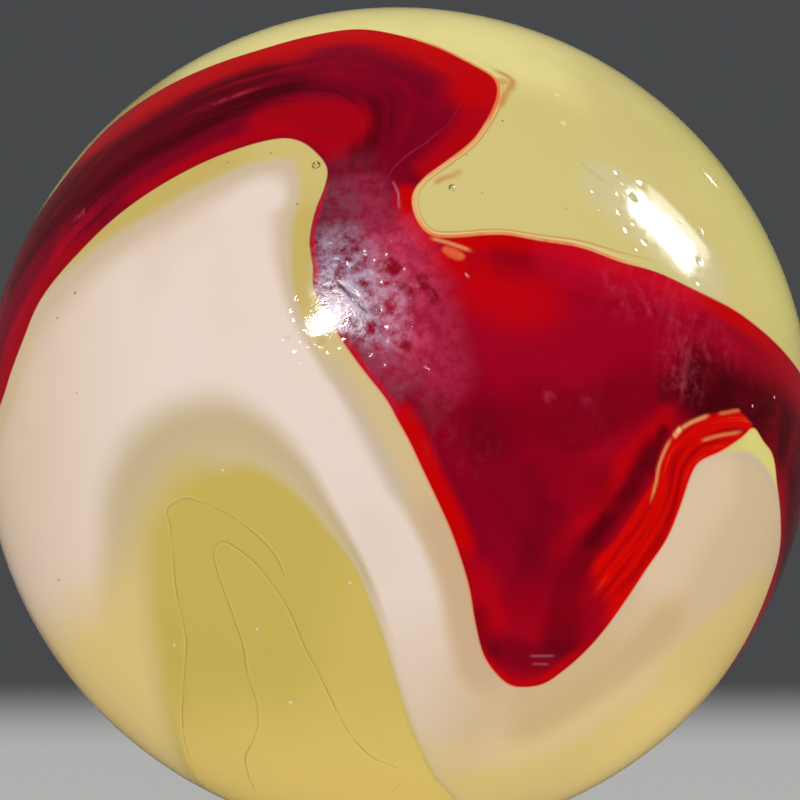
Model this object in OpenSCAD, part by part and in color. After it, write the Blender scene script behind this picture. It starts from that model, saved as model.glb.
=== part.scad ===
// Glass marble: one solid ball of fused glass, with the pits, open bubbles and
// scratches of play on its skin. Millimetres, +Z up, origin at the ball's centre.
// A place on the skin is a turn round Z from the front (-Y) towards +X and a rise
// above the equator, both in degrees.

/* [Ball] */
// Diameter of the ball
ball_d = 16; // [12:0.5:25]
// Facets round the ball
ball_facets = 180; // [96:12:240]

/* [Pits] */
// Width of the smallest pit
pit_w_min = 0.06; // [0.04:0.01:0.1]
// Width of the widest scattered pit
pit_w_max = 0.16; // [0.1:0.01:0.3]
// Depth of a pit, as a share of its width
pit_depth_share = 0.1; // [0.1:0.02:0.3]
// Pits in the large worn patch on the front
front_pit_count = 96; // [0:8:160]
// Pits in the chipped spot beside it
spot_pit_count = 24; // [0:4:60]
// Pits in the scuffed patch at the upper right
side_pit_count = 30; // [0:5:60]

/* [Bubbles] */
// Size of the open bubbles, as a multiple of their usual width
bubble_scale = 1; // [0.5:0.1:1.5]
// Depth of an open bubble, as a share of its width
bubble_depth_share = 0.28; // [0.1:0.02:0.4]

/* [Scratches] */
// Length of the scratches, as a multiple of their usual length
scratch_scale = 1; // [0.5:0.1:1.5]
// Radius of the round-bottomed stroke that a scratch follows
stroke_r = 3; // [2:0.5:6]
// Angle between the two walls of a scratch
scratch_angle = 110; // [80:5:140]

/* [Hidden] */

ball_r = ball_d / 2;
pit_facets = 24;
stroke_facets = 96;
golden_angle = 180 * (3 - sqrt(5));
to_degrees = 180 / (PI * ball_r); // degrees of arc in one millimetre of skin
mark_clearance = 0.03; // skin left between a pit and a bubble or a scratch

// Worn patches: turn, rise, half length mm, half width mm, degrees that the long
// way dips to the right, number of pits
patches = [
    [-2, 17, 2.5, 1.25, 62, front_pit_count],
    [-12, 13, 0.75, 0.6, 20, spot_pit_count],
    [43, 29, 1.7, 0.8, 48, side_pit_count],
];

// Open bubbles: turn, rise, width
bubbles = [
    [-9, 22, 0.2],
    [-10, 24.5, 0.18],
    [-5, 23.5, 0.12],
    [-3, 15.5, 0.18],
    [-4, 9.5, 0.12],
    [4, 7.5, 0.14],
    [-10.5, 11, 0.16],
    [-15.5, 11.5, 0.12],
    [42, 32.5, 0.18],
    [38, 30, 0.1],
    [41, 25.5, 0.1],
    [54.5, 27, 0.14],
    [9.3, 33.9, 0.15],
    [-14.1, 37.8, 0.16],
];

// Scratches: turn, rise, length, degrees that it dips to the right
scratches = [
    [-6.8, 18.3, 0.65, 38],
    [0, 33, 0.7, 78],
    [5, 17.5, 0.6, 62],
    [-9.5, 31, 0.5, 20],
    [2, 10.5, 0.4, 150],
    [36, 36.5, 0.9, 50],
    [68, 35.5, 0.8, 62],
    [25, -34, 0.5, 0],
];

// Depth of a scratch at its middle
function scratch_depth(length) = pow(length / 2, 2) / 2 * (1 / ball_r + 1 / stroke_r);

// A point on a ball of radius one, and the same turns for it as at_skin makes
function skin_point(turn, rise) = [sin(turn) * cos(rise), -cos(turn) * cos(rise), sin(rise)];
function about_x(v, a) = [v[0], v[1] * cos(a) - v[2] * sin(a), v[1] * sin(a) + v[2] * cos(a)];
function about_y(v, a) = [v[0] * cos(a) + v[2] * sin(a), v[1], v[2] * cos(a) - v[0] * sin(a)];
function about_z(v, a) = [v[0] * cos(a) - v[1] * sin(a), v[0] * sin(a) + v[1] * cos(a), v[2]];
function place(v, turn, rise, dip = 0) = about_z(about_x(about_y(v, dip), -rise), turn);

// Marks that the pits keep clear of: point, half width
marks = concat(
    [for (b = bubbles) [skin_point(b[0], b[1]), b[2] * bubble_scale / 2]],
    [
        for (s = scratches) for (along = [-1:0.25:1])
            let (length = s[2] * scratch_scale)
                [
                    place(skin_point(along * length / 2 * to_degrees, 0), s[0], s[1], s[3]),
                    scratch_depth(length) * tan(scratch_angle / 2),
                ]
    ]
);

// True where a pit of this width leaves every mark alone
function is_clear(point, width) =
    min([for (m = marks) norm(point - m[0]) * ball_r - m[1]]) > width / 2 + mark_clearance;

// Turns its children, drawn at the front of the ball, to a place on the skin
module at_skin(turn, rise, dip = 0)
    rotate([0, 0, turn]) rotate([-rise, 0, 0]) rotate([0, dip, 0]) children();

// A dimple with a spherical floor, cut at the front of the ball
module pit_cutter(width, depth) {
    floor_r = (pow(width / 2, 2) + pow(depth, 2)) / (2 * depth);
    translate([0, -(ball_r - depth + floor_r), 0]) sphere(r = floor_r, $fn = pit_facets);
}

// A V-walled stroke along X, deepest in the middle and running out at both ends
module scratch_cutter(length) {
    depth = scratch_depth(length);
    half_thickness = stroke_r * tan(scratch_angle / 2);
    translate([0, -(ball_r - depth + stroke_r), 0])
        rotate_extrude($fn = stroke_facets)
            polygon([[0, -half_thickness], [stroke_r, 0], [0, half_thickness]]);
}

// Pits strewn over one worn patch: a sunflower spiral, shaken by uneven sines
module patch_pits(patch) {
    count = patch[5];
    for (i = [0:1:count - 1]) {
        reach = sqrt((i + 0.5) / count) * (1 + 0.14 * sin(i * 97));
        bearing = i * golden_angle + 14 * sin(i * 61);
        width = pit_w_min + (pit_w_max - pit_w_min) * pow(sin(i * 53), 2);
        turn = reach * cos(bearing) * patch[2] * to_degrees;
        rise = reach * sin(bearing) * patch[3] * to_degrees;
        if (is_clear(place(skin_point(turn, rise), patch[0], patch[1], patch[4]), width))
            at_skin(patch[0], patch[1], patch[4])
                at_skin(turn, rise) pit_cutter(width, width * pit_depth_share);
    }
}

module marble()
    color([0.84, 0.77, 0.44])
        difference() {
            sphere(r = ball_r, $fn = ball_facets);
            for (patch = patches) patch_pits(patch);
            for (b = bubbles)
                at_skin(b[0], b[1])
                    pit_cutter(b[2] * bubble_scale, b[2] * bubble_scale * bubble_depth_share);
            for (s = scratches)
                at_skin(s[0], s[1], s[3]) scratch_cutter(s[2] * scratch_scale);
        }

marble();
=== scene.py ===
import math

import bpy
import numpy as np
from mathutils import Matrix, Vector


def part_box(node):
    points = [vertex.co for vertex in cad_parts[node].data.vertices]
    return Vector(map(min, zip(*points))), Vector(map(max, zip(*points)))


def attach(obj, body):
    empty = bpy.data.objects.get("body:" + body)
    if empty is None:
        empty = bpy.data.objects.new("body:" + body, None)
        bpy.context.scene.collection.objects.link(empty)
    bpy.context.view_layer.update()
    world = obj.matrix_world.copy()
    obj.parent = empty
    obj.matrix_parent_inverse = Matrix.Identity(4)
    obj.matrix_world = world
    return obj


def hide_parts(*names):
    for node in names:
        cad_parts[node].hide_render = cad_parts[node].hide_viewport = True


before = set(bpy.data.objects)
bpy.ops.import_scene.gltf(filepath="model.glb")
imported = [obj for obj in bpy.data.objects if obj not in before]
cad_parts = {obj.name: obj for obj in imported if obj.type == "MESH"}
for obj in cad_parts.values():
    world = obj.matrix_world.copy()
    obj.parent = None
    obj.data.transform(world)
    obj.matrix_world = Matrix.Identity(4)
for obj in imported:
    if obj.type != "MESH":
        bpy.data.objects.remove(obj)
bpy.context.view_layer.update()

ballLow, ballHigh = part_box("marble")
ballRadius = (ballHigh[2] - ballLow[2]) / 2 * 1000  # mm; the painting below works in millimetres

# Every place on the ball is (turn, rise) in degrees: turn runs from the front towards +X, rise is
# the height above the equator. Lengths on the skin are millimetres.

ball = {
    "divisions": (4, 4, 7),  # a cube's edges are cut in 4, again in 4 and in 7, then it is rounded
    "fineCuts": 2,  # cuts in the faces that carry pits, bubbles, scratches and fine paint
    "pitWidths": (0.06, 0.16),
    "pitDepthShare": 0.1,
    "bubbleDepthShare": 0.28,
    "scratchAngle": 110,
    "strokeRadius": 3,
    "markClearance": 0.03,
    # turn, rise, half length, half width, dip of the long way to the right, number of pits
    "patches": [(-2, 17, 2.5, 1.25, 62, 96), (-12, 13, 0.75, 0.6, 20, 24), (43, 29, 1.7, 0.8, 48, 30)],
    # turn, rise and width of the places that stay free of pits
    "whole": [(-10.4, 14.4, 0.84), (44.5, 28.4, 0.9), (48, 25.6, 0.9)],
    # turn, rise, width
    "bubbles": [
        (-9, 22, 0.2), (-10, 24.5, 0.18), (-5, 23.5, 0.12), (-3, 15.5, 0.18), (-4, 9.5, 0.12),
        (4, 7.5, 0.14), (-10.5, 11, 0.16), (-15.5, 11.5, 0.12), (42, 32.5, 0.18), (38, 30, 0.1),
        (41, 25.5, 0.1), (54.5, 27, 0.14), (9.3, 33.9, 0.15), (-14.1, 37.8, 0.16),
    ],
    # turn, rise, length, dip to the right
    "scratches": [
        (-6.8, 18.3, 0.65, 38), (0, 33, 0.7, 78), (5, 17.5, 0.6, 62), (-9.5, 31, 0.5, 20),
        (2, 10.5, 0.4, 150), (36, 36.5, 0.9, 50), (68, 35.5, 0.8, 62), (25, -34, 0.5, 0),
    ],
    # small painted marks that also need fine faces: turn, rise, reach
    "finePlaces": [
        (8.4, 24.2, 0.6), (10.2, 20.4, 0.16), (8.2, 8.9, 0.2), (0, 33, 0.4), (24.8, -34.6, 0.4),
        (28, 56.2, 0.4), (9.6, 36.4, 0.5), (5.2, 29.6, 0.4), (-11.6, 16, 0.6), (0.4, 1, 0.5),
        (-3.4, 6.5, 0.5), (-7.4, 11.4, 0.4), (3, -4, 0.4),
    ],
    "fineRim": {"patch": 0.15, "bubble": 0.2, "scratch": 0.1, "flap": 0.12},  # fine faces around each
    "sheetGap": 0.006,  # clear rim of each side on the bake sheet
}


def skinPoint(turn, rise):
    t, r = math.radians(turn), math.radians(rise)
    return np.array([math.sin(t) * math.cos(r), -math.cos(t) * math.cos(r), math.sin(r)])


def about(axis, degrees):
    a = math.radians(degrees)
    c, s = math.cos(a), math.sin(a)
    if axis == "X":
        return np.array([[1, 0, 0], [0, c, -s], [0, s, c]])
    if axis == "Y":
        return np.array([[c, 0, s], [0, 1, 0], [-s, 0, c]])
    return np.array([[c, -s, 0], [s, c, 0], [0, 0, 1]])


def turnTo(turn, rise, dip=0):  # carries the front of the ball to a place on the skin
    return about("Z", turn) @ about("X", -rise) @ about("Y", dip)


def unit(v):
    return v / np.linalg.norm(v, axis=1, keepdims=True)


def scratchSlope():
    return math.tan(math.radians(ball["scratchAngle"] / 2))


def scratchDepth(length):
    return (length / 2) ** 2 / 2 * (1 / ballRadius + 1 / ball["strokeRadius"])


def markPlaces():  # what the pits keep clear of: place and half width
    toDegrees = 180 / (math.pi * ballRadius)
    marks = [(skinPoint(t, r), w / 2) for t, r, w in ball["bubbles"] + ball["whole"]]
    for t, r, length, dip in ball["scratches"]:
        half = scratchDepth(length) * scratchSlope()
        for step in range(9):
            along = (step / 4 - 1) * length / 2 * toDegrees
            marks.append((turnTo(t, r, dip) @ skinPoint(along, 0), half))
    return marks


def findPits():  # an uneven spiral of pits in each patch
    toDegrees = 180 / (math.pi * ballRadius)
    marks = markPlaces()
    narrow, wide = ball["pitWidths"]
    pits = []
    for t, r, halfLong, halfWide, dip, count in ball["patches"]:
        for i in range(count):
            reach = math.sqrt((i + 0.5) / count) * (1 + 0.14 * math.sin(math.radians(i * 97)))
            bearing = math.radians(i * 180 * (3 - math.sqrt(5)) + 14 * math.sin(math.radians(i * 61)))
            width = narrow + (wide - narrow) * math.sin(math.radians(i * 53)) ** 2
            spot = turnTo(t, r, dip) @ skinPoint(
                reach * math.cos(bearing) * halfLong * toDegrees,
                reach * math.sin(bearing) * halfWide * toDegrees,
            )
            room = min(np.linalg.norm(spot - p) * ballRadius - half for p, half in marks)
            if room > width / 2 + ball["markClearance"]:
                pits.append((spot, width, width * ball["pitDepthShare"]))
    return pits


def deselectAll():
    if bpy.context.object and bpy.context.object.mode != "OBJECT":
        bpy.ops.object.mode_set(mode="OBJECT")
    bpy.ops.object.select_all(action="DESELECT")


def cornersOf(piece):
    flat = np.empty(len(piece.data.vertices) * 3)
    piece.data.vertices.foreach_get("co", flat)
    return flat.reshape(-1, 3)


def setCorners(piece, places):
    piece.data.vertices.foreach_set("co", np.asarray(places, float).ravel())
    piece.data.update()


def modelBall():
    deselectAll()
    bpy.ops.mesh.primitive_cube_add(size=2)
    piece = bpy.context.object
    piece.name = piece.data.name = "glassMarble"
    bpy.ops.object.mode_set(mode="EDIT")
    bpy.ops.mesh.select_all(action="SELECT")
    for parts in ball["divisions"]:
        bpy.ops.mesh.subdivide(number_cuts=parts - 1, smoothness=0)
    bpy.ops.object.mode_set(mode="OBJECT")
    setCorners(piece, np.tan(cornersOf(piece) * math.pi / 4))  # even angles instead of even lengths
    layOutBake(piece)
    bpy.ops.object.mode_set(mode="EDIT")
    bpy.ops.mesh.select_all(action="SELECT")
    bpy.ops.transform.tosphere(value=1)
    bpy.ops.object.mode_set(mode="OBJECT")
    setCorners(piece, unit(cornersOf(piece)) * ballRadius / 1000)
    return piece


def layOutBake(piece):
    # the front of the ball gets two thirds of the sheet, the other five sides a third each
    while piece.data.uv_layers:
        piece.data.uv_layers.remove(piece.data.uv_layers[0])
    layer = piece.data.uv_layers.new(name="OFBake")
    third, gap = 1 / 3, ball["sheetGap"]
    sheet = {  # axis and side of the cube: left, bottom and width on the sheet
        (1, -1): (0, 0, 2 * third),
        (0, 1): (2 * third, 0, third),
        (0, -1): (2 * third, third, third),
        (1, 1): (2 * third, 2 * third, third),
        (2, 1): (0, 2 * third, third),
        (2, -1): (third, 2 * third, third),
    }
    places = np.arctan(cornersOf(piece)) * 4 / math.pi
    loops = np.empty(len(piece.data.loops), dtype=np.int64)
    piece.data.loops.foreach_get("vertex_index", loops)
    corner = places[loops].reshape(-1, 4, 3)
    middle = corner.mean(axis=1)
    axis = np.abs(middle).argmax(axis=1)
    side = np.sign(middle[np.arange(len(middle)), axis])
    uv = np.empty((len(middle), 4, 2))
    for (a, s), (left, bottom, size) in sheet.items():
        here = (axis == a) & (side == s)
        across, up = {0: (1, 2), 1: (0, 2), 2: (0, 1)}[a]
        mirror = -s if a == 1 else s
        uv[here, :, 0] = left + gap + (size - 2 * gap) * (corner[here][:, :, across] * mirror + 1) / 2
        uv[here, :, 1] = bottom + gap + (size - 2 * gap) * (corner[here][:, :, up] + 1) / 2
    layer.data.foreach_set("uv", uv.ravel())


def refineWornSkin(piece):
    rim = ball["fineRim"]
    middles = np.empty(len(piece.data.polygons) * 3)
    piece.data.polygons.foreach_get("center", middles)
    middles = unit(middles.reshape(-1, 3))
    chosen = signedDistance(middles, swirl["flap"]) > -rim["flap"]
    for t, r, halfLong, halfWide, dip, _ in ball["patches"]:
        local = middles @ turnTo(t, r, dip)  # back to the front of the ball
        long, wide = halfLong + rim["patch"], halfWide + rim["patch"]
        reach = np.hypot(local[:, 0] / long, local[:, 2] / wide) * ballRadius
        chosen |= (reach < 1) & (local[:, 1] < 0)
    spots = ball["finePlaces"] + [(t, r, rim["bubble"] + w / 2) for t, r, w in ball["bubbles"]]
    spots += [(t, r, rim["scratch"] + length / 2) for t, r, length, _ in ball["scratches"]]
    for turn, rise, reach in spots:
        chosen |= np.linalg.norm(middles - skinPoint(turn, rise), axis=1) * ballRadius < reach
    bpy.context.view_layer.objects.active = piece
    piece.select_set(True)
    bpy.ops.object.mode_set(mode="EDIT")
    bpy.ops.mesh.select_mode(type="FACE")
    bpy.ops.mesh.select_all(action="DESELECT")
    bpy.ops.object.mode_set(mode="OBJECT")
    piece.data.polygons.foreach_set("select", chosen)
    bpy.ops.object.mode_set(mode="EDIT")
    bpy.ops.mesh.subdivide(number_cuts=ball["fineCuts"], smoothness=0, ngon=False)
    bpy.ops.object.mode_set(mode="OBJECT")
    setCorners(piece, unit(cornersOf(piece)) * ballRadius / 1000)


def wearSkin(piece):
    skin = unit(cornersOf(piece))
    sink = np.zeros(len(skin))
    bubbles = [(skinPoint(t, r), w, w * ball["bubbleDepthShare"]) for t, r, w in ball["bubbles"]]
    for place, width, depth in findPits() + bubbles:
        reach = np.linalg.norm(skin - place, axis=1) * ballRadius / (width / 2)
        sink = np.maximum(sink, depth * np.clip(1 - reach**2, 0, 1))
    for t, r, length, dip in ball["scratches"]:
        local = skin @ turnTo(t, r, dip) * ballRadius
        depth = scratchDepth(length) * np.clip(1 - (local[:, 0] / (length / 2)) ** 2, 0, 1)
        groove = np.clip(depth - np.abs(local[:, 2]) / scratchSlope(), 0, None)
        sink = np.maximum(sink, groove * (local[:, 1] < 0))
    setCorners(piece, skin * (ballRadius - sink)[:, None] / 1000)
    return skin


swirl = {
    # where the yellow cap meets the red ribbon
    "north": [
        (-92, 24), (-82, 34), (-80, 45), (-72, 52), (-61, 58), (-48, 63), (-35, 67.5), (-17, 70.5),
        (1, 68), (13, 63.5), (20, 59), (24, 55), (21.5, 50), (15, 43), (9.5, 39), (4.5, 35.5),
        (2.5, 32.5), (3, 29), (5, 26.5), (8.5, 26), (16, 26.5), (22.5, 25.5), (29, 24.5), (35, 22.5),
        (41.5, 21), (48.5, 18.5), (57, 15.5), (64, 12.5), (72, 9), (79, 6), (90, 0), (99, -10),
        (106, -24), (113, -31), (124, -33), (134, -26), (146, -12), (157, 6), (166, 22), (178, 34),
        (195, 38), (212, 32), (226, 18), (238, 6), (250, 4), (260, 10),
    ],
    # where the ribbon meets the white and yellow glass below it
    "south": [
        (-71.5, 3), (-68.5, 7.2), (-65.9, 11.5), (-63.2, 17), (-56.2, 24), (-49.6, 30), (-40.5, 36),
        (-32, 40), (-23, 42.5), (-18, 42), (-14, 39.5), (-12, 37), (-12, 34), (-13, 30), (-13.3, 25.5),
        (-12.4, 21.7), (-11.8, 18), (-8.3, 12.2), (-4.9, 7.5), (-1.5, 3.2), (0.1, 0.3), (1.8, -2.8),
        (3.6, -6.6), (5.6, -10.7), (8, -15.8), (10.6, -22.6), (12.1, -28), (14.1, -33.2), (16.9, -36.6),
        (20.4, -38.9), (24, -39.2), (27, -38.5), (29.7, -36.3), (32.5, -33.2), (34.9, -29.5),
        (37.1, -25.2), (39.5, -20.5), (42.1, -16.2), (43.6, -11.8), (44.9, -7.6), (46.6, -5.4),
        (50.9, -4), (55.4, -2.2), (58.6, -0.8), (61.4, -2.6), (64.8, -4.7), (67.2, -8.6), (70.8, -12.9),
        (75.4, -18.4), (77.6, -24.4), (80, -30), (84, -38), (92, -47), (104, -53), (120, -56), (136, -52),
        (150, -42), (162, -26), (172, -8), (182, 3), (195, 7), (206, 2), (216, -8), (228, -17),
        (242, -20), (256, -18), (268, -14), (276, -7), (283, -1),
    ],
    # the bright streaky fold on the right of the V
    "flap": [
        (59, 0.6), (57, 1.8), (54.4, 1.9), (48.4, 1.1), (44.8, 0.1), (41.9, -1.2), (40.2, -3.2),
        (38.9, -5.5), (38.2, -8), (36.2, -11), (34.4, -13.8), (32.6, -16.6), (30.6, -18.4), (29.8, -20.2),
        (30.6, -22), (32.2, -24), (34, -26), (34.8, -29), (36.6, -28), (40.5, -21.5), (43.5, -16),
        (45.5, -11), (47, -7), (50, -4.6), (55, -3), (58, -0.8),
    ],
    # white glass: where it begins, and where it is full
    "whiteOuter": [
        (-19, 41), (-30, 39), (-38, 35.6), (-45, 31.6), (-51, 28.6), (-57, 26), (-72, 17), (-88, 0),
        (-96, -20), (-98, -45), (-80, -62), (-40, -68), (0, -64), (20, -60), (36, -58), (50, -47),
        (62, -36), (72, -27), (80, -20), (74, -13.5), (67, -8), (62, -5), (57.5, -3.4), (53, -3.6),
        (46, -3), (41, -10), (37, -18), (33, -26), (28, -33), (22, -36), (17, -33), (12, -26), (7.4, -18),
        (3.8, -11), (0.4, -5), (-2.4, 0), (-5.4, 4), (-9, 8.5), (-12, 13.5), (-14, 19), (-14.5, 25),
        (-14.5, 32), (-15.5, 38.5),
    ],
    "whiteInner": [
        (-20.5, 32.5), (-26, 30), (-31, 27), (-36, 24), (-42, 21), (-48, 15), (-54, 9), (-60, 2),
        (-68, -8), (-82, -18), (-80, -34), (-60, -44), (-40, -48), (-10, -52), (10, -50), (20, -48),
        (32, -47), (42, -42), (54, -33), (68, -24), (71, -16), (66, -11), (59, -7), (53, -6), (48.5, -9),
        (44, -19), (40, -27), (34, -35), (28, -41), (20, -43), (14, -41), (9, -34), (6, -25), (1.8, -17),
        (-2.4, -10), (-5.6, -3), (-9, 4), (-14.4, 11), (-19, 19), (-22.5, 27), (-24, 32),
    ],
    # the olive window in the white: its soft ring, and its clear inside
    "windowOuter": [
        (-57, -26), (-52.5, -18), (-49, -8), (-43, 0.5), (-35, 5.4), (-27, 6.8), (-21, 5.5), (-15.5, 1.5),
        (-11, -4.5), (-8, -11), (-5, -17.5), (-2.5, -23.5), (-0.5, -29.5), (2.5, -38), (6, -46),
        (12, -54), (24, -62), (60, -80), (180, -82), (-110, -66), (-80, -50), (-62, -37),
    ],
    "windowInner": [
        (-35, -16.4), (-32.8, -13.8), (-30, -11), (-27.4, -9.2), (-24.6, -8.2), (-20.8, -7.4),
        (-16.5, -9.2), (-13, -12), (-9.6, -16), (-6.6, -20), (-4.7, -24.6), (-2.7, -30), (-1, -36),
        (1, -43), (4.5, -51), (9, -58), (25, -70), (180, -86), (-80, -66), (-61, -56), (-51.5, -49.5),
        (-45.4, -41.6), (-41.2, -35), (-39, -29), (-37.4, -24), (-36.2, -20),
    ],
    # hairlines in the window, each one the edge of an arch
    "archA": [
        (-34, -12), (-31, -10.5), (-28.5, -11), (-24.5, -12.5), (-21, -15), (-18.5, -17.5), (-17, -20.5),
        (-15, -30), (-16, -45), (-30, -60), (-61, -62), (-61, -57), (-53.5, -51), (-46.5, -45),
        (-40.5, -38.5), (-36.5, -32.5), (-35.5, -29), (-35, -23.5), (-34.2, -18.5), (-33.8, -14.5),
    ],
    "archB": [
        (-27.2, -17.8), (-25.5, -16.5), (-23.5, -17.5), (-21, -19.5), (-18.5, -23), (-16.5, -27),
        (-15, -32.5), (-13.5, -36.5), (-12, -41.5), (-10, -47.5), (-6, -53), (-0.5, -55.5), (2, -58),
        (-10, -66), (-48, -66), (-44, -60), (-40.5, -56.5), (-37, -53), (-32.5, -50), (-28.5, -46),
        (-26.7, -41.5), (-26.5, -37), (-25.7, -32.5), (-26, -28.5), (-26.5, -25), (-27.3, -20.5),
    ],
}

# Bubbles just under the skin, seen as rings
swirlRings = [(-14.1, 37.8), (9.3, 33.9)]

# Specks in the glass: turn, rise, radius mm, colour
flecks = [
    (7.4, 24.2, 0.1, "ember"), (8.2, 23.8, 0.14, "ember"), (9, 23.4, 0.13, "ember"),
    (9.6, 23.2, 0.09, "ember"),
    (58.4, 2.2, 0.035, "spark"), (65, 3.4, 0.035, "spark"), (-4.7, 23.5, 0.04, "spark"),
    (-38.9, -32.2, 0.034, "cream"), (-22.5, -29.6, 0.036, "cream"), (-20, -42, 0.04, "cream"),
    (-6.9, -22.5, 0.034, "cream"), (-24.6, -6.6, 0.03, "cream"), (38, 51.6, 0.08, "fleckPale"),
    (34.7, 45.6, 0.07, "fleckPale"), (-54, 18, 0.036, "ringDark"), (-57, 14.4, 0.032, "ringDark"),
    (-61, -22.2, 0.034, "ringDark"), (-31, 38.3, 0.03, "hairline"), (-23, 39.9, 0.03, "hairline"),
    (-16.1, 31.3, 0.026, "ringDark"), (21.3, 46, 0.028, "ringDark"), (12.5, 39.6, 0.026, "hairline"),
    (-50, 4, 0.026, "hairline"), (14, 33, 0.024, "hairline"), (28, 30.6, 0.022, "hairline"),
]


def smoothPath(points, closed, steps=5):  # a Catmull-Rom curve over the skin
    knots = np.array([skinPoint(t, r) for t, r in points])
    if closed:
        before, after, last = np.roll(knots, 1, 0), np.roll(knots, -1, 0), np.roll(knots, -2, 0)
    else:
        knots = np.vstack([2 * knots[0] - knots[1], knots, 2 * knots[-1] - knots[-2]])
        before, knots, after, last = knots[:-3], knots[1:-2], knots[2:-1], knots[3:]
    t = (np.arange(steps) / steps)[:, None, None]
    curve = 0.5 * (
        2 * knots + (after - before) * t + (2 * before - 5 * knots + 4 * after - last) * t**2
        + (3 * knots - before - 3 * after + last) * t**3
    )
    curve = unit(curve.transpose(1, 0, 2).reshape(-1, 3))
    return curve if closed else unit(np.vstack([curve, after[-1:]]))


def distanceTo(skin, path, closed):  # mm to the path, and how far along it the nearest place is
    rows = 20000  # corners at a time, to spare memory
    near = np.empty(len(skin))
    along = np.empty(len(skin))
    count = len(path)
    for start in range(0, len(skin), rows):
        part = skin[start:start + rows]
        index = (part @ path.T).argmax(axis=1)
        best = np.full(len(part), 9.0)  # farther than any place on the unit ball
        spot = index.astype(float)
        for shift in (-1, 0):  # the edges before and after the nearest point
            a, b = index + shift, index + shift + 1
            if closed:
                a, b = a % count, b % count
            else:
                a, b = np.clip(a, 0, count - 1), np.clip(b, 0, count - 1)
            edge = path[b] - path[a]
            share = ((part - path[a]) * edge).sum(1) / np.maximum((edge**2).sum(1), 1e-12)
            share = np.clip(share, 0, 1)
            gap = np.linalg.norm(part - path[a] - edge * share[:, None], axis=1)
            spot = np.where(gap < best, a + share, spot)
            best = np.minimum(best, gap)
        near[start:start + rows] = best * ballRadius
        along[start:start + rows] = spot
    return near, along / (count - 1)


def signedDistance(skin, points, top=False):  # mm inside the outline, negative outside
    rows = 8000  # corners at a time
    path = smoothPath(points, True)
    near, _ = distanceTo(skin, path, True)
    pole = 1 if top else -1  # flattened around this pole; the other lies outside the outline
    flatPath, flatSkin = (v[:, :2] / np.maximum(1 + pole * v[:, 2:], 1e-6) for v in (path, skin))
    x1, y1 = flatPath.T
    x2, y2 = np.roll(flatPath, -1, 0).T
    slope = (x2 - x1) / np.where(y2 == y1, 1e-12, y2 - y1)
    inside = np.zeros(len(skin), bool)
    for start in range(0, len(skin), rows):
        x, y = flatSkin[start:start + rows].T[:, :, None]
        crossed = ((y1 > y) != (y2 > y)) & (x < x1 + slope * (y - y1))
        inside[start:start + rows] = crossed.sum(axis=1) % 2 == 1
    return np.where(inside, near, -near)


def between(outer, inner):  # 0 at the outer outline, 1 at the inner one
    return np.clip(outer / np.maximum(outer - np.minimum(inner, 0), 1e-4), 0, 1) * (outer > 0)


def easeIn(value):
    value = np.clip(value, 0, 1)
    return value * value * (3 - 2 * value)


# The line that the streaks of the fold run along
foldLine = [
    (64, 2.4), (58.6, 2.6), (52, 2.8), (46, 1.8), (42, 0), (39.4, -2.4), (37.8, -6), (36.8, -10.5),
    (34, -15.5), (30.6, -20), (27.6, -24.5), (25, -30), (22, -35),
]

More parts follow.
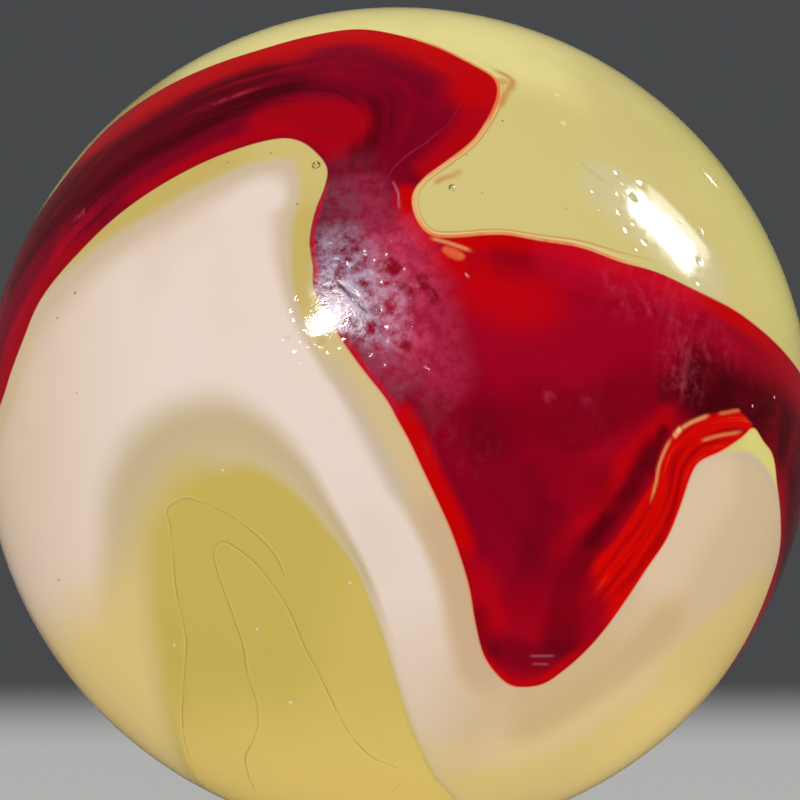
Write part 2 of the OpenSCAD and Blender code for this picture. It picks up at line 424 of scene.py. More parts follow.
# Soft strokes: path, half width, feather, strength
brushes = {
    "scarlet": [
        ([(-46, 61), (-35, 65), (-17, 68.2), (0, 66.4), (12, 62.4)], 0.15, 0.6, 0.95),
        ([(-68, 49.5), (-63, 53), (-54, 57.6), (-46, 61), (-35, 64)], 0.25, 0.7, 0.8),
        ([(-106, 2), (-99, 14), (-92, 25), (-84, 34), (-75, 44.5), (-68, 49.5), (-63, 53)], 0.35, 0.8, 0.62),
        ([(2, 67), (13, 62.3), (18.6, 58.6), (20.4, 55.4), (19, 52)], 0.3, 0.75, 0.85),
        ([(20.4, 55.4), (18.6, 50), (14.6, 44.8), (10.6, 40.8), (6, 37), (3, 35)], 0.12, 0.4, 0.6),
        ([(-26, 45.8), (-22, 46.8), (-18, 47.4), (-11, 46.4), (-9, 44.6), (-11, 42.2)], 0.24, 0.46, 0.5),
        ([(-52, 30.8), (-46, 34.4), (-40, 37.8), (-31, 42), (-22, 44), (-15, 42.6), (-11.4, 39.6)],
         0.05, 0.28, 0.5),
        ([(-0.6, 3.4), (1.5, 0), (3.3, -3.6), (5.4, -8.3), (8.6, -14.6), (11.6, -21.2)], 0.07, 0.26, 0.95),
        ([(10.6, -18.6), (13.2, -25), (16.4, -30.4)], 0.12, 0.45, 0.45),
        ([(12.6, -31.5), (15.4, -35), (18.4, -37.6), (22.5, -38.6), (26.8, -37.4), (29, -35.2), (33, -31)],
         0.03, 0.12, 0.85),
        ([(42, 2.4), (40.1, 1), (37.5, -1.1), (35, -3.2), (32.6, -5.9), (31.5, -8.3), (29.8, -10.8)],
         0.04, 0.28, 0.62),
        ([(31.5, -8.3), (29.8, -10.8), (27.2, -13.6), (24.4, -16.5), (22.4, -18.4)], 0.04, 0.3, 0.4),
        ([(6, 25), (9, 25), (16, 25.3), (24, 24.3), (33, 22.3), (41, 20), (50, 17), (60, 13), (72, 7.5)],
         0.05, 0.3, 0.9),
        ([(12.6, 19.4), (15, 18.2), (17.4, 16.6), (20, 17)], 0.16, 0.8, 0.66),
        ([(11, 23), (14, 20.6)], 0.1, 0.5, 0.4),
        ([(2.6, 35), (1.9, 32), (2.4, 29), (4.4, 26.2), (6, 24)], 0.08, 0.34, 0.95),
        ([(5.6, 24.4), (7.4, 22.2), (11, 21)], 0.06, 0.4, 0.8),
    ],
    "blood": [
        ([(-11.8, 35.6), (-12.2, 33), (-13.1, 28), (-13, 25), (-12.1, 21.4), (-11.4, 18.6)],
         0.03, 0.08, 0.75),
        ([(-7.9, 12.2), (-4.5, 7.5), (-1.1, 3.2), (0.6, 0.2)], 0.02, 0.09, 0.8),
        ([(24, 23), (34, 21), (46, 17.6)], 0.16, 0.5, 0.45),
    ],
    "deep": [
        ([(-108, -8), (-99, 6), (-91, 20), (-84, 31), (-74, 34.5), (-64, 38), (-54, 44), (-44, 50.5),
          (-36, 54)], 0.4, 0.5, 0.7),
        ([(-47, 43), (-42, 45.4), (-37.4, 48.4), (-33, 50.8), (-27, 53.4), (-18, 55)], 0.14, 0.36, 0.95),
        ([(-78, 20), (-72, 26), (-66, 31), (-58, 35.8), (-51, 40.4), (-44, 44)], 0.15, 0.36, 0.85),
        ([(-5, 52.5), (-3, 49), (-3, 45), (-6, 41), (-9.5, 39)], 0.06, 0.28, 0.6),
        ([(38.4, -1.8), (36.9, -4.1), (35.4, -7.7), (33.3, -10.8), (31, -13.6), (29, -16.4), (27.6, -19.6)],
         0.07, 0.3, 0.85),
        ([(40.4, -0.2), (38.8, -2.2), (37.6, -5), (36.9, -8)], 0.06, 0.16, 0.8),
        ([(28.6, -17.6), (26.6, -21), (26.2, -26), (27.4, -31.6)], 0.15, 0.5, 0.55),
        ([(12.4, -25.5), (13, -28), (14.8, -31.6), (17.4, -34.6)], 0.05, 0.24, 0.5),
        ([(17.5, -33.4), (22.5, -34.8), (27, -33.6)], 0.16, 0.3, 0.2),
        ([(40, 4.4), (46, 5.6), (53, 4.8), (58, 3)], 0.15, 0.3, 0.8),
        ([(47, 4.6), (56, 1.6), (66, -0.6), (74, -4.6), (79, -12), (88, -22), (97, -32), (108, -41)],
         0.36, 0.85, 1),
        ([(18, 2), (26, 1), (32, 3.5), (38, 5)], 0.15, 0.8, 0.35),
        ([(21, -6.5), (25, -8.2), (28, -8.8)], 0.25, 0.5, 0.35),
        ([(22, -12), (22.6, -16), (21, -21), (19.4, -25)], 0.2, 0.5, 0.35),
        ([(13, 22.6), (19.8, 22.4), (26, 21)], 0.1, 0.4, 0.3),
        ([(13, -1), (19, -0.6), (24, -2)], 0.2, 0.7, 0.42),
        ([(-110, -14), (-101, -4), (-94, 5), (-88, 14), (-82, 24), (-76, 28)], 0.3, 0.6, 0.7),
    ],
    "plum": [
        ([(-3, 38), (-7, 33), (-8, 27), (-7, 22)], 0.6, 0.6, 0.9),
        ([(-5, 20), (0, 12), (5, 4), (9, -6), (14, -14)], 0.6, 1.3, 0.7),
        ([(20, 6), (30, 8), (42, 12), (55, 10)], 0.7, 1.4, 0.35),
        ([(18, -32.6), (23, -34), (28, -32.6)], 0.16, 0.3, 0.5),
        ([(-108, -20), (-97, -13), (-87, -6), (-80, 2), (-77, 12), (-73, 19), (-69, 24)], 0.35, 0.5, 0.9),
    ],
    "magenta": [
        ([(18, 12), (28, 15), (38, 17), (50, 13)], 0.7, 1.4, 0.7),
        ([(10, 8), (18, 0), (20, -10), (19, -20)], 0.5, 1.3, 0.6),
        ([(-72, 8), (-70, 13.4), (-66, 19.4), (-61.5, 26), (-55, 32)], 0.08, 0.25, 0.5),
    ],
    "pale": [
        ([(-46, 47.5), (-38, 51.5), (-30, 54.5)], 0.0, 0.05, 0.4),
        ([(-62, 29), (-60, 30.5)], 0.02, 0.08, 0.5),
        ([(31.6, 21.5), (32.6, 18.5), (33, 17)], 0, 0.1, 0.35),
        ([(37, 20), (38.2, 16.5), (38.6, 14.5)], 0, 0.08, 0.35),
        ([(43.6, 13), (43.8, 8), (43, 3)], 0, 0.1, 0.3),
        ([(47.6, 12), (49, 8)], 0, 0.12, 0.2),
        ([(21, 4.2), (21.4, 3)], 0.03, 0.14, 0.28),
        ([(27, 3.4), (27.3, 2.2)], 0.03, 0.12, 0.22),
    ],
    "orange": [
        ([(48.4, 1), (44.8, 0), (42.4, -1)], 0.012, 0.05, 0.85),
        ([(42.8, -0.7), (41.9, -1.5), (41.3, -2.1)], 0.03, 0.05, 1),
        ([(41, -2.1), (39.8, -3.9), (38.9, -6.1), (38.7, -8), (38, -11.2)], 0.008, 0.05, 0.8),
        ([(46.6, -2.6), (50.1, -1.9), (55.8, -1.3)], 0.006, 0.05, 0.6),
        ([(50.1, 1.1), (55.6, 1.7)], 0.004, 0.05, 0.5),
        ([(5, 26), (7.9, 25.2), (11.3, 24)], 0.008, 0.055, 0.8),
    ],
    "brown": [
        ([(25, 58), (28.6, 54.9), (24.9, 51.6), (21.4, 48.3)], 0.03, 0.08, 0.75),
        ([(11.4, 36.9), (9.4, 36), (7.4, 35.3), (6.2, 34.4)], 0.02, 0.08, 0.8),
        ([(24, 54.6), (27.4, 54.5)], 0.05, 0.12, 0.55),
    ],
    "cream": [
        ([(42.6, -0.9), (42, -1.4)], 0.012, 0.04, 0.7),
    ],
    "tan": [
        ([(2.4, -9), (6, -15), (8.8, -22), (10.7, -29), (13.4, -35.6), (19, -40.8)], 0.1, 0.4, 0.8),
    ],
    "sand": [
        ([(20, -41.2), (27, -41), (33, -36), (38, -29)], 0.1, 0.7, 0.4),
        ([(28, -46), (36, -40), (44, -33), (47, -29)], 0.15, 0.7, 0.6),
    ],
    "shade": [
        ([(-11, 9.5), (-7.3, 5.2), (-4.4, -0.4), (-1.5, -6.1), (1.6, -12)], 0.06, 0.26, 0.55),
    ],
    "milk": [
        ([(50, -9), (46, -14), (43.5, -20)], 0.3, 0.8, 0.55),
        ([(26, -51), (36, -46), (46, -38)], 0.3, 0.8, 0.25),
    ],
    "honey": [
        ([(36, -54), (48, -46), (60, -37), (72, -29)], 0.7, 0.9, 0.9),
    ],
    "amber": [
        ([(-37, -27), (-39, -33), (-42, -40), (-48, -47)], 0.02, 0.24, 0.08),
        ([(-88, -8), (-86, -18), (-83, -29), (-79, -39)], 0.08, 0.34, 0.42),
        ([(78, -46), (84, -36), (89, -26)], 0.06, 0.4, 0.35),
    ],
    "smoke": [
        ([(-9.6, 31.4), (-9.8, 27), (-8.8, 22.8)], 0.3, 0.5, 0.9),
        ([(-7.5, 37), (-6, 33), (-4, 27)], 0.2, 0.6, 0.3),
        ([(-4.6, 11), (-2.2, 8.3), (0.4, 5.8), (3.2, 3.6)], 0.12, 0.55, 0.7),
        ([(3.2, 3.6), (5.2, 1.9), (7, 0.4)], 0.06, 0.5, 0.3),
    ],
    # frosted glass round the front window's reflection, with that reflection spread over it as a painted
    # sheen
    "frostAndSheen": [
        ([(-9.8, 19.8), (-7.4, 17.4), (-4.6, 13.8)], 0.18, 0.5, 1),
        ([(-8.6, 23.4), (-6, 21), (-2.6, 17)], 0.2, 0.7, 0.68),
        ([(-4.6, 15), (-2.8, 13.6), (-1.4, 12.8)], 0.2, 0.5, 0.5),
    ],
    # scuffed haze round the long softbox's reflection, with the reflection's halo painted in
    "hazeAndHalo": [
        ([(38, 34), (44, 28), (52, 21)], 0.3, 0.7, 0.4),
    ],
    "blush": [
        ([(-0.6, 24.5), (1.6, 18.5), (1.6, 13), (0.6, 9.5)], 0.3, 0.7, 1),
        ([(3.6, 18), (5, 12), (6, 7)], 0.2, 0.7, 0.6),
        ([(-5.5, 32.5), (-3.4, 28), (-2.2, 24.5)], 0.2, 0.6, 0.5),
    ],
    "scuff": [
        ([(33.9, 22), (34.6, 17.6)], 0.25, 0.5, 0.6),
        ([(30, 22.6), (36, 21), (42, 19), (48, 16.6)], 0.12, 0.36, 0.6),
        ([(38.9, 21), (39.9, 16.6)], 0.2, 0.4, 0.5),
        ([(43.7, 17.1), (45, 12.8), (43.6, 6.9)], 0.3, 0.6, 0.8),
        ([(48.3, 12.8), (52, 10)], 0.2, 0.5, 0.5),
        ([(6.4, -2.8), (9, -2.4), (11, -4)], 0.2, 0.5, 0.25),
        ([(26, 4), (27, -2)], 0.2, 0.8, 0.12),
    ],
    "spark": [
        ([(-9.5, 22.2), (-9.1, 21.8)], 0.02, 0.04, 0.6),
        ([(-4.8, 23.5), (-4.6, 23.4)], 0.008, 0.02, 1),
        ([(10, 20.7), (10.5, 20.1)], 0.002, 0.018, 0.8),
        ([(3.8, 7.6), (4.1, 7.4)], 0.01, 0.03, 0.5),
        ([(-0.7, 35.1), (0.2, 33), (0.4, 30.4)], 0, 0.03, 0.2),
        ([(22.4, -33.9), (27, -33.9)], 0, 0.04, 0.14),
        ([(23.2, -35.2), (26.4, -35.3)], 0, 0.04, 0.1),
    ],
    "flake": [
        ([(-9, 17), (-13, 12.5), (-17, 8.5)], 0.3, 0.7, 1),
        ([(-12, 15), (-19, 12)], 0.2, 0.6, 0.7),
    ],
    "island": [
        ([(-1.8, 22.8), (-0.6, 21.6), (0.6, 20.8)], 0.09, 0.12, 1),
        ([(3, 21.2), (4.4, 18.6), (5.8, 16.2)], 0.05, 0.12, 1),
        ([(0.6, 19.4), (2.2, 17.4)], 0.04, 0.12, 0.9),
        ([(0.6, 10.9), (2.1, 9.9)], 0.05, 0.1, 0.9),
        ([(-6.6, 22), (-5.8, 20.6)], 0.03, 0.1, 0.6),
    ],
    "groove": [
        ([(-8.9, 19.4), (-6.5, 17.2), (-3.8, 14.6)], 0.016, 0.03, 1),
        ([(-3.8, 14.6), (-1.6, 11.6)], 0.004, 0.03, 0.5),
    ],
}


def brushField(skin, strokes):
    field = np.zeros(len(skin))
    for points, half, feather, strength in strokes:
        near, along = distanceTo(skin, smoothPath(points, False), False)
        thin = half < 0.15  # a thin stroke runs out at its ends
        taper = easeIn(5 * np.minimum(along, 1 - along) + 0.2) if thin else 1
        field = np.maximum(field, strength * taper * (1 - easeIn((near - half * taper) / feather)))
    return field


def smoothOver(piece, values, rounds):  # each corner takes the mean of itself and its neighbours
    edges = np.empty(len(piece.data.edges) * 2, dtype=np.int64)
    piece.data.edges.foreach_get("vertices", edges)
    a, b = edges.reshape(-1, 2).T
    count = np.bincount(edges, minlength=len(values))
    for _ in range(rounds):
        near = np.bincount(a, values[b], len(values)) + np.bincount(b, values[a], len(values))
        values = (values + near / count) / 2
    return values


def paintSwirl(piece, skin):
    fields = {name: signedDistance(skin, swirl[name], name == "north") for name in swirl}
    fields["white"] = easeIn(between(fields.pop("whiteOuter"), fields.pop("whiteInner")))
    fields["window"] = between(fields.pop("windowOuter"), fields.pop("windowInner"))
    reach = np.abs(fields["north"]) + np.abs(fields["south"])
    across = np.abs(fields["north"]) / np.maximum(reach, 1e-4)  # 0 to 1 over the ribbon's width
    fields["across"] = smoothOver(piece, across, 60)
    foldGap, _ = distanceTo(skin, smoothPath(foldLine, False), False)
    fields["foldAcross"] = smoothOver(piece, foldGap, 8)
    rings = [skinPoint(t, r) for t, r in swirlRings]
    fields["ringGap"] = np.min([np.linalg.norm(skin - spot, axis=1) for spot in rings], axis=0) * ballRadius
    for name, strokes in brushes.items():
        fields[name] = brushField(skin, strokes)
    for name, values in fields.items():
        layer = piece.data.attributes.new(name, "FLOAT", "POINT")
        layer.data.foreach_set("value", values.astype(np.float32))


glass = {
    # colours as they read on the finished ball, 0 to 255: the yellow glass
    "yellow": (210, 194, 124), "yellowTop": (238, 225, 148), "yellowLow": (222, 191, 104),
    "limbYellow": (222, 212, 124), "margin": (208, 186, 114), "marginLow": (198, 175, 98),
    # the next row's last colour is scuffed haze with the long softbox's reflection halo painted into it
    # the next row's middle colour is painted light, brightening the lower right edge
    "honey": (221, 193, 123), "lowEdgeLight": (240, 210, 132), "hazeAndHalo": (210, 200, 168),
    # the white glass
    "cream": (234, 213, 200), "beige": (219, 194, 168), "whiteRim": (206, 184, 155),
    "blob": (214, 187, 148), "milk": (230, 202, 172), "underV": (212, 184, 142),
    "shade": (200, 182, 160), "tan": (204, 170, 136), "sand": (203, 169, 114), "amber": (186, 116, 54),
    # the window
    "olive": (198, 175, 86), "ring": (197, 177, 138), "ringInner": (206, 186, 138),
    "hairline": (156, 130, 60), "ringDark": (110, 84, 40), "fleckPale": (234, 224, 162),
    # the ribbon
    "crimson": (158, 0, 22), "scarlet": (196, 0, 0), "deep": (72, 0, 10), "plum": (116, 0, 30),
    "magenta": (184, 0, 36), "pale": (206, 70, 100), "blood": (196, 8, 44), "island": (134, 0, 26),
    # the ribbon's flap and fringes
    "flapRed": (210, 4, 0), "flapDark": (164, 0, 4), "flapBright": (238, 52, 20),
    "orange": (232, 150, 92), "ember": (222, 96, 58), "edgeOrange": (226, 108, 56),
    "fringe": (226, 128, 84), "fringeCream": (240, 214, 150), "brown": (196, 128, 56),
    # the wear; its pale lilac haze is frosted glass with the front window's reflection painted over it
    "smoke": (120, 56, 74), "frostAndSheen": (188, 170, 198), "blush": (202, 52, 92), "spark": (236, 206, 222),
    "roughness": 0.05,
    "wornRoughness": 0.36,
    "cloudyRoughness": 0.03,
    "ior": 1.5,
    "specular": 0.16,
    "bumpStrength": 0.5,
    "bumpDistance": 0.001,
}


def fromScreen(colour):  # a screen colour as the linear values that sockets take
    low = [c / 255 / 12.92 for c in colour]
    high = [((c / 255 + 0.055) / 1.055) ** 2.4 for c in colour]
    return tuple(a if c <= 10 else b for c, a, b in zip(colour, low, high)) + (1,)


class Wire:  # a socket that takes part in sums
    def __init__(self, bench, socket):
        self.bench, self.socket = bench, socket

    def sum(self, operation, first, second):
        return self.bench.add("ShaderNodeMath", {"operation": operation}, {0: first, 1: second})

    def __add__(self, other):
        return self.sum("ADD", self, other)

    def __radd__(self, other):
        return self.sum("ADD", other, self)

    def __sub__(self, other):
        return self.sum("SUBTRACT", self, other)

    def __rsub__(self, other):
        return self.sum("SUBTRACT", other, self)

    def __mul__(self, other):
        return self.sum("MULTIPLY", self, other)

    def __rmul__(self, other):
        return self.sum("MULTIPLY", other, self)

    def __neg__(self):
        return self.sum("MULTIPLY", self, -1)

    def under(self, other):
        return self.sum("MINIMUM", self, other)

    def over(self, other):
        return self.sum("MAXIMUM", self, other)

    def size(self):
        return self.sum("ABSOLUTE", self, 0)


class Bench:  # the node tree of one material, or of the world
    def __init__(self, owner):
        self.owner = owner
        owner.use_nodes = True
        self.nodes = owner.node_tree.nodes
        self.links = owner.node_tree.links
        self.nodes.clear()

    def add(self, kind, settings=None, values=None, out=0):
        node = self.nodes.new(kind)
        for key, value in (settings or {}).items():
            setattr(node, key, value)
        for key, value in (values or {}).items():
            if isinstance(value, Wire):
                self.links.new(value.socket, node.inputs[key])
            else:
                node.inputs[key].default_value = value
        return None if out is None else Wire(self, node.outputs[out])

    def field(self, name):  # one of the fields that paintSwirl stores
        return self.add("ShaderNodeAttribute", {"attribute_name": name}, out="Fac")

    def join(self, x, y, z=0):
        return self.add("ShaderNodeCombineXYZ", {}, {0: x, 1: y, 2: z})

    def split(self, place):
        node = self.add("ShaderNodeSeparateXYZ", {}, {0: place}).socket.node
        return [Wire(self, socket) for socket in node.outputs]


class GlassBench(Bench):  # with the wires that all the glass is painted from
    def __init__(self, owner):
        super().__init__(owner)
        metres = self.add("ShaderNodeTexCoord", out="Object")
        self.place = self.add("ShaderNodeVectorMath", {"operation": "SCALE"}, {0: metres, "Scale": 1000.0})
        self.x, self.y, self.z = self.split(self.place)  # mm
        self.cloud = noise(self.place, 0.35, 3)
        self.wisp = noise(self.place, 0.9, 4, 0.6, 0.6)
        self.north, self.south = self.field("north"), self.field("south")
        self.depth = (-self.north).under(-self.south)  # mm inside the ribbon


def ease(value, low, high):  # 0 at low, 1 at high, which may be the smaller one
    return value.bench.add(
        "ShaderNodeMapRange", {"interpolation_type": "SMOOTHSTEP"},
        {"Value": value, "From Min": low, "From Max": high},
    )


def line(gap, core, edge):  # 1 where the gap is under core, 0 where it is over edge
    return 1 - ease(gap.size(), core, edge)


def mix(share, first, second):
    return share.bench.add("ShaderNodeMix", {"data_type": "RGBA"}, {0: share, 6: first, 7: second}, out=2)


def wash(under, name, share):  # a thin coat of one of the glass colours
    return mix(share, under, fromScreen(glass[name]))


def noise(place, scale, detail=2, roughness=0.5, distortion=0):
    return place.bench.add("ShaderNodeTexNoise", {}, {
        "Vector": place, "Scale": scale, "Detail": detail, "Roughness": roughness, "Distortion": distortion,
    })


def paintYellow(bench):  # opaque yellow glass, with thin cloudy changes
    x, y, z, cloud, wisp = bench.x, bench.y, bench.z, bench.cloud, bench.wisp
    body = wash(fromScreen(glass["yellow"]), "yellowTop", ease(z + 3 * cloud, 7, 9.3))
    body = wash(body, "limbYellow", ease(x + 0.5 * z + cloud, 8, 9.3) * ease(z, 1, 2.4) * 0.8)
    body = wash(body, "yellowLow", ease(x - z + 3 * cloud, 5.5, 11) * ease(z, 0, -3))
    wedge = ease(x, 6.3, 6.8) * ease(z, -2.4, -1.4) * ease(z, 0.4, 0) * ease(y, 0.5, -0.8)
    body = wash(body, "limbYellow", wedge * 0.9)
    # the band between the ribbon's arm and the white
    margin = ease(x + wisp, 0.5, -1) * ease(z, 6.9, 6)
    body = wash(body, "margin", margin)
    low = margin * ease(x, -2.4, -3.4).over(ease(z, 4.6, 3.8)) * ease(z, 1.4, 2.6)
    return wash(body, "marginLow", low)


def paintWhite(bench, body):  # soft white glass, beige towards its low and far ends
    x, z, cloud = bench.x, bench.z, bench.cloud
    white = bench.field("white")
    body = wash(body, "whiteRim", ease(white, 0.02, 0.3))
    cream = wash(fromScreen(glass["cream"]), "beige", ease(cloud, 0.4, 0.8) * 0.5)
    cream = wash(cream, "beige", ease(x + 2 * cloud, -3.5, -7))
    cream = wash(cream, "beige", ease(z + 2 * cloud, -1.8, -5) * 0.9)
    cream = wash(cream, "underV", ease(x - 0.5 * z + cloud, 3.4, 5) * 0.9)
    cream = wash(cream, "blob", ease(x + 2 * cloud, 4, 5.6))
    body = mix(ease(white, 0.3, 1), body, cream)
    return wash(body, "honey", ease(z + 1.5 * cloud, -4.8, -7))


def paintWindow(bench, body):  # the olive window in the white, inside its soft ring
    x, z, cloud, wisp = bench.x, bench.z, bench.cloud, bench.wisp
    window = bench.field("window")
    ringed = ease(window, 0.02, 0.45) * ease(x, -6.9, -5) * (1 - ease(x - 0.3 * z, 0.1, 1.5) * 0.9)
    body = wash(body, "ring", ringed)
    body = wash(body, "ringInner", ease(window, 0.45, 0.8) * 0.7)
    body = wash(body, "olive", ease(window, 0.72 - 0.2 * ease(x, -3.2, -4.2), 1))
    clear = ease(window, 0.9, 1)
    body = wash(body, "yellowLow", clear * ease(z + wisp, -4, -6.6))
    body = wash(body, "yellowLow", clear * ease(x - 0.25 * z, -1.2, 0.6) * 0.4)
    lowerLeft = ease(0.9 * x - z + 2 * cloud, -2.4, 0.4) * ease(x, -3.6, -4.4)
    return wash(body, "honey", bench.field("honey").over(lowerLeft) * ease(window, 1, 0.55))


def paintShades(bench, body):  # warm and milky shades under the ribbon and at the edge, with painted light brightening the lower right edge
    x, z, field = bench.x, bench.z, bench.field
    # painted light: the lower right edge is made brighter and warmer, as if lit from below
    body = wash(body, "lowEdgeLight", ease(x - z, 9.6, 11.3) * ease(z, -4.4, -5.6))
    body = wash(body, "milk", field("milk"))
    body = wash(body, "underV", ease(z, 3.2, 0) * ease(bench.south, 0.75, 0.35) * ease(x, 2.6, 1.8) * 0.8)
    for name in ("shade", "tan", "sand"):
        body = wash(body, name, field(name))
    return wash(body, "amber", field("amber") * 0.7)


def drawHairlines(bench, body):  # two arches in the window, each a dark line with a pale edge
    x, z = bench.x, bench.z
    upperLeft = ease(z, -3.1, -2.7).over(ease(x, -3, -3.4))
    lower = ease(z, -7.3, -6.9) * ease(x, 0.15, -0.05)
    broken = 0.15 + 0.85 * ease(noise(bench.place, 1.1, 2), 0.3, 0.6)
    for arch, where, shift, tint, strength in (
        ("archA", upperLeft, 0, "hairline", 0.6), ("archA", upperLeft, 0.04, "fringeCream", 0.25),
        ("archB", lower, 0, "hairline", 0.6), ("archB", lower, -0.04, "fringeCream", 0.2),
    ):
        hair = line(bench.field(arch) + shift, 0.002, 0.028)
        body = wash(body, tint, hair * where * broken * strength)
    return body


def drawFringe(bench, body):  # orange and brown lines outside the ribbon's upper edge
    x, z, wisp, north = bench.x, bench.z, bench.wisp, bench.north
    hook = ease(x, -0.2, 0.8) * ease(z, 2.8, 3.2) * ease(x + 0.4 * z, 6.6, 5)
    body = wash(body, "fringeCream", (1 - ease(north, 0.08, 0.15)) * hook * 0.55)
    outline = north - 0.08 - 0.1 * ease(z, 3.7, 3.1) - 0.06 * wisp
    body = wash(body, "brown", line(outline, 0.006, 0.034) * hook * ease(z, 6.8, 6) * 0.7)
    body = wash(body, "brown", bench.field("brown") * (0.4 + 0.6 * ease(wisp, 0.25, 0.55)))
    edge = (1 - ease(north, 0.04, 0.1)) * hook * (0.5 + 0.4 * ease(wisp, 0.35, 0.6))
    return wash(body, "edgeOrange", edge)


def paintRibbon(bench):
    x, y, z, wisp, field = bench.x, bench.y, bench.z, bench.wisp, bench.field
    # streaks that run along the ribbon
    streak = noise(bench.join(field("across") * 13 + wisp, x * 0.22 + y * 0.1, z * 0.22), 1, 4, 0.5, 0.2)
    arm = ease(z + wisp, 3.5, 4.6)
    seen = ease(y, 2.6, 0.1)  # the strokes die away behind the sides
    ribbon = wash(fromScreen(glass["crimson"]), "plum", ease(z + 0.5 * wisp, 3.4, 4.2) * 0.9)
    ribbon = wash(ribbon, "magenta", (field("magenta") * 0.7 + ease(wisp, 0.5, 0.8) * 0.4).under(1))
    ribbon = wash(ribbon, "plum", field("plum") * seen)
    ribbon = wash(ribbon, "deep", ease(streak, 0.5, 0.7) * (0.15 + 0.6 * arm))
    ribbon = wash(ribbon, "scarlet", ease(streak, 0.45, 0.3) * (0.1 + 0.3 * arm * ease(x, -1.2, -2.6)))
    ribbon = wash(ribbon, "deep", ease(wisp, 0.55, 0.8) * 0.25)
    ribbon = wash(ribbon, "scarlet", field("scarlet") * ease(streak, 1.2, 0.6) * seen)
    left = ease(x, 2, 0.5)
    patchy = left * ease(streak, 0.2, 0.5) + (1 - left) * (0.55 + 0.45 * ease(wisp, 0.25, 0.6))
    ribbon = wash(ribbon, "deep", field("deep") * patchy * seen)
    # scuffs on the right lobe, pale specks, and a thin line inside the hook
    scratchy = noise(bench.join(x * 5 - z * 0.8, z * 0.6), 1, 3, 0.6)
    scratchy = ease(scratchy, 0.46, 0.72) * 0.6 + ease(noise(bench.place, 5, 4, 0.7), 0.45, 0.75)
    ribbon = wash(ribbon, "pale", field("scuff") * scratchy * 0.32)
    ribbon = wash(ribbon, "pale", field("pale") * ease(noise(bench.place, 6, 2), 0.3, 0.6))
    nested = line(-bench.north - 0.52 - 0.15 * wisp, 0.004, 0.03) * ease(x, -1.2, 0.4) * arm
    return wash(ribbon, "pale", nested * ease(bench.cloud, 0.4, 0.6) * 0.18)


def paintFlap(bench, ribbon):  # the bright fold on the right of the V, with its own streaks
    x, z, wisp, field = bench.x, bench.z, bench.wisp, bench.field
    streak = noise(bench.join(field("foldAcross") * 5.5 + wisp, x * 0.5, z * 0.3), 1, 3, 0.55, 0.2)
    flap = wash(fromScreen(glass["flapRed"]), "flapDark", ease(streak, 0.46, 0.66) * 0.9)
    flap = wash(flap, "flapBright", ease(streak, 0.4, 0.3) * 0.8)
    soft = 0.03 + 0.22 * ease(z, -1.6, -3.4)
    onFlap = ease(field("flap"), -soft, soft) * ease(z + wisp * 0.8, -4.3, -3.1)
    folded = ease(z + 1.13 * x, 7.7, 7.58)  # it ends in a slanting fold
    ribbon = mix(onFlap * folded, ribbon, flap)
    ribbon = wash(ribbon, "orange", field("orange") * folded)
    return wash(ribbon, "fringeCream", field("cream"))


def paintWear(bench, colour, grain, fine):  # rubbed and bruised glass, with the lamps' reflections painted into its haze, then single specks
    field, depth = bench.field, bench.depth
    inside = ease(depth, -0.02, 0.05)
    # painted reflection halo: a pale haze round the long softbox's reflection, over scuffed glass
    colour = wash(colour, "hazeAndHalo", field("hazeAndHalo") * (1 - inside))
    colour = wash(colour, "blush", field("blush") * inside * (0.35 + 0.65 * ease(grain, 0.3, 0.65)) * 0.8)
    colour = wash(colour, "smoke", field("smoke") * inside * ease(grain + 0.2 * fine, 0.34, 0.78) * 0.85)
    # painted sheen: the front window's reflection spread over the frosted patch as a pale lilac haze
    chalky = ease(grain + 0.3 * fine, 0.42, 0.86)
    colour = wash(colour, "frostAndSheen", field("frostAndSheen") * (0.15 + 0.85 * inside) * chalky * 0.85)
    colour = wash(colour, "island", field("island") * inside * (0.55 + 0.45 * ease(grain, 0.7, 0.45)))
    colour = wash(colour, "deep", field("groove") * inside)
    colour = wash(colour, "blood", field("blood") * inside)
    colour = wash(colour, "spark", field("spark"))
    for turn, rise, radius, tint in flecks:
        ends = {0: bench.place, 1: tuple(skinPoint(turn, rise) * ballRadius)}
        away = bench.add("ShaderNodeVectorMath", {"operation": "DISTANCE"}, ends, "Value")
        colour = wash(colour, tint, ease(away, radius * 1.2, radius * 0.3) * 0.85)
    ringLine = line(field("ringGap") - 0.072, 0.008, 0.024) * ease(noise(bench.place, 4, 1), 0.3, 0.5)
    return wash(colour, "ringDark", ringLine * 0.9)


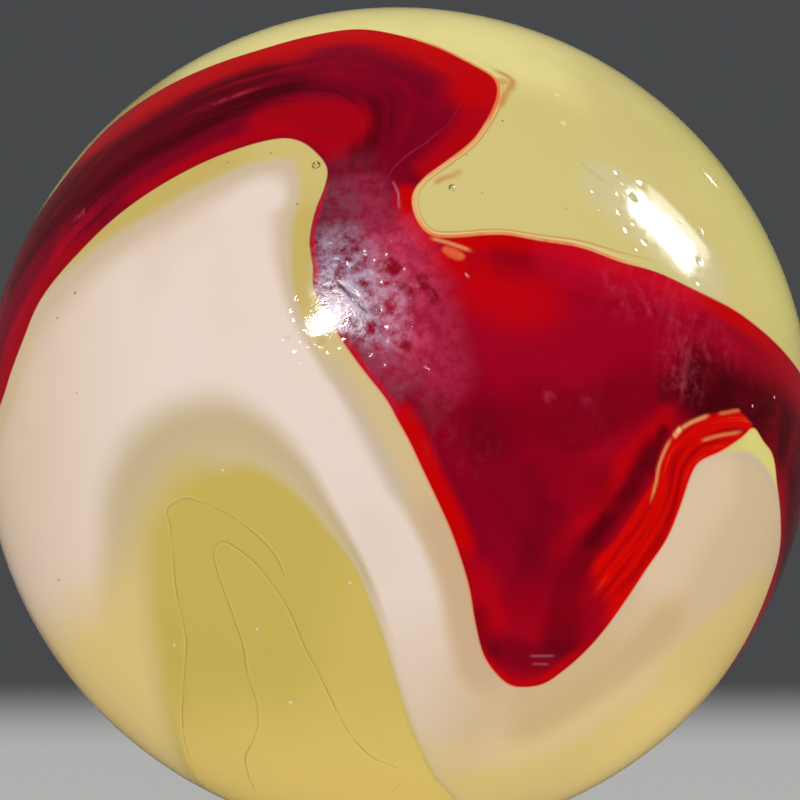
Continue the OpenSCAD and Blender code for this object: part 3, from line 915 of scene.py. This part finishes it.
def swirlGlass():
    bench = GlassBench(bpy.data.materials.new("swirlGlass"))
    place, z, depth, field = bench.place, bench.z, bench.depth, bench.field
    body = paintWindow(bench, paintWhite(bench, paintYellow(bench)))
    body = drawHairlines(bench, paintShades(bench, body))
    body = drawFringe(bench, body)
    colour = mix(ease(depth, -0.02, 0.02), body, paintFlap(bench, paintRibbon(bench)))
    colour = wash(colour, "fringe", line(depth + 0.012, 0.006, 0.028) * 0.55 * ease(z, 2.6, 2.2))
    grain = noise(place, 4.2, 4, 0.65)
    fine = noise(place, 20, 2, 0.6)
    colour = paintWear(bench, colour, grain, fine)
    worn = field("frostAndSheen").over(field("smoke") * 0.6).over(field("blush") * 0.5).over(field("hazeAndHalo") * 0.6)
    rough = glass["roughness"] + worn * glass["wornRoughness"] * ease(grain, 0.25, 0.7)
    rough = rough + ease(bench.cloud, 0.4, 0.8) * glass["cloudyRoughness"]
    # grain in the worn places, chipped flakes left of the worn patch, and a slight roll everywhere
    height = grain * (0.006 * worn + 0.008 * field("flake")) + fine * 0.004 * worn
    height = height + noise(place, 0.9, 2) * 0.0015
    bump = bench.add(
        "ShaderNodeBump", {},
        {"Strength": glass["bumpStrength"], "Distance": glass["bumpDistance"], "Height": height},
    )
    shader = bench.add("ShaderNodeBsdfPrincipled", {}, {
        "Base Color": colour, "Roughness": rough, "Normal": bump, "IOR": glass["ior"],
        "Specular IOR Level": glass["specular"],
    })
    bench.add("ShaderNodeOutputMaterial", {}, {"Surface": shader}, None)
    return bench.owner


studio = {
    "floorReach": 0.34,
    "floorFade": 0.4,  # share of the reach where the floor begins to fade out
    "floorColour": (176, 176, 174),
    "skyColour": (70, 72, 74),
    "tentLight": 0.96,
    "cameraAway": 0.55,
    "viewWidth": 0.015429,  # metres across the picture, at the ball
    "viewShift": (0.004, 0.0275),
    "sensor": 36,
    "clip": (0.01, 10),
    "lamps": {
        # direction from the ball, the way its long side runs, distance m, sides m, watts, and
        # whether it is mirrored in the glass or only lights it
        "frontWindow": ((-0.312, -0.835, 0.478), (1, 0, 0.95), 0.3, (0.058, 0.026), 1.25, True),
        "longSoftbox": ((0.788, 0.228, 0.572), (-0.47, -0.34, 0.81), 0.3, (0.077, 0.034), 2, True),
        "softboxEdge": ((0.762, 0.367, 0.537), (-0.47, -0.34, 0.81), 0.3, (0.078, 0.026), 0.06, True),
        "topSoft": ((-0.25, -0.3, 0.9), (1, 0, 0), 0.45, (0.35, 0.35), 0.12, False),
        "frontFill": ((0, -1, 0.05), (1, 0, 0), 0.45, (0.35, 0.35), 0.06, False),
    },
}


def floorPaint():  # plain, and clear towards the rim
    bench = Bench(bpy.data.materials.new("paleFloor"))
    shader = bench.add("ShaderNodeBsdfDiffuse", {}, {"Color": fromScreen(studio["floorColour"])})
    place = bench.add("ShaderNodeTexCoord", out="Object")
    away = bench.add("ShaderNodeVectorMath", {"operation": "LENGTH"}, {0: place}, out="Value")
    clear = bench.add("ShaderNodeBsdfTransparent")
    reach = studio["floorReach"]
    share = ease(away, reach * studio["floorFade"], reach)
    mixed = bench.add("ShaderNodeMixShader", {}, {0: share, 1: shader, 2: clear})
    bench.add("ShaderNodeOutputMaterial", {}, {"Surface": mixed}, None)
    return bench.owner


def layFloor():
    deselectAll()
    bpy.ops.mesh.primitive_circle_add(
        vertices=96, radius=studio["floorReach"], fill_type="TRIFAN", location=(0, 0, ballLow[2])
    )
    floor = bpy.context.object
    floor.name = "floor"
    bpy.ops.object.transform_apply(location=True, rotation=False, scale=False)
    floor.data.materials.append(floorPaint())
    # a light tent: it lights the ball from below too, and the glass mirrors the backdrop alone
    floor.visible_diffuse = floor.visible_shadow = floor.visible_glossy = False


def hangSky():  # a grey backdrop to look at, and an even white tent that lights the ball
    bpy.context.scene.world = bpy.data.worlds.new("studio")
    bench = Bench(bpy.context.scene.world)
    lights = bench.add("ShaderNodeLightPath", out="Is Diffuse Ray")
    tent = (studio["tentLight"],) * 3 + (1,)
    colour = mix(lights, fromScreen(studio["skyColour"]), tent)
    sky = bench.add("ShaderNodeBackground", {}, {"Color": colour})
    bench.add("ShaderNodeOutputWorld", {}, {"Surface": sky}, None)


def setLamps():
    for name, (direction, long, away, sides, watts, mirrored) in studio["lamps"].items():
        towards = Vector(direction).normalized()
        bpy.ops.object.light_add(type="AREA", location=towards * away)
        lamp = bpy.context.object
        lamp.name = name
        along = (Vector(long) - towards * towards.dot(Vector(long))).normalized()
        lamp.rotation_euler = Matrix((along, towards.cross(along), towards)).transposed().to_euler()
        lamp.data.shape = "RECTANGLE"
        lamp.data.size, lamp.data.size_y = sides
        lamp.data.energy = watts
        lamp.visible_glossy, lamp.visible_diffuse = mirrored, not mirrored


def setCamera():
    away = studio["cameraAway"]
    bpy.ops.object.camera_add(location=(0, -away, 0), rotation=(math.pi / 2, 0, 0))
    camera = bpy.context.object
    camera.data.sensor_width = studio["sensor"]
    camera.data.lens = studio["sensor"] * away / studio["viewWidth"]
    camera.data.shift_x, camera.data.shift_y = studio["viewShift"]
    camera.data.clip_start, camera.data.clip_end = studio["clip"]
    bpy.context.scene.camera = camera
    bpy.context.scene.view_settings.view_transform = "Standard"


print("rounding the cube into the ball")
marble = modelBall()
refineWornSkin(marble)
print("wearing the skin")
skin = wearSkin(marble)
print("painting the swirl")
paintSwirl(marble, skin)
print("mixing the glass")
marble.data.materials.append(swirlGlass())
deselectAll()
marble.select_set(True)
bpy.context.view_layer.objects.active = marble
bpy.ops.object.shade_smooth()
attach(marble, "root")
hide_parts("marble")
print("setting the studio")
layFloor()
hangSky()
setLamps()
setCamera()
print("triangles:", sum(len(face.vertices) - 2 for face in marble.data.polygons))
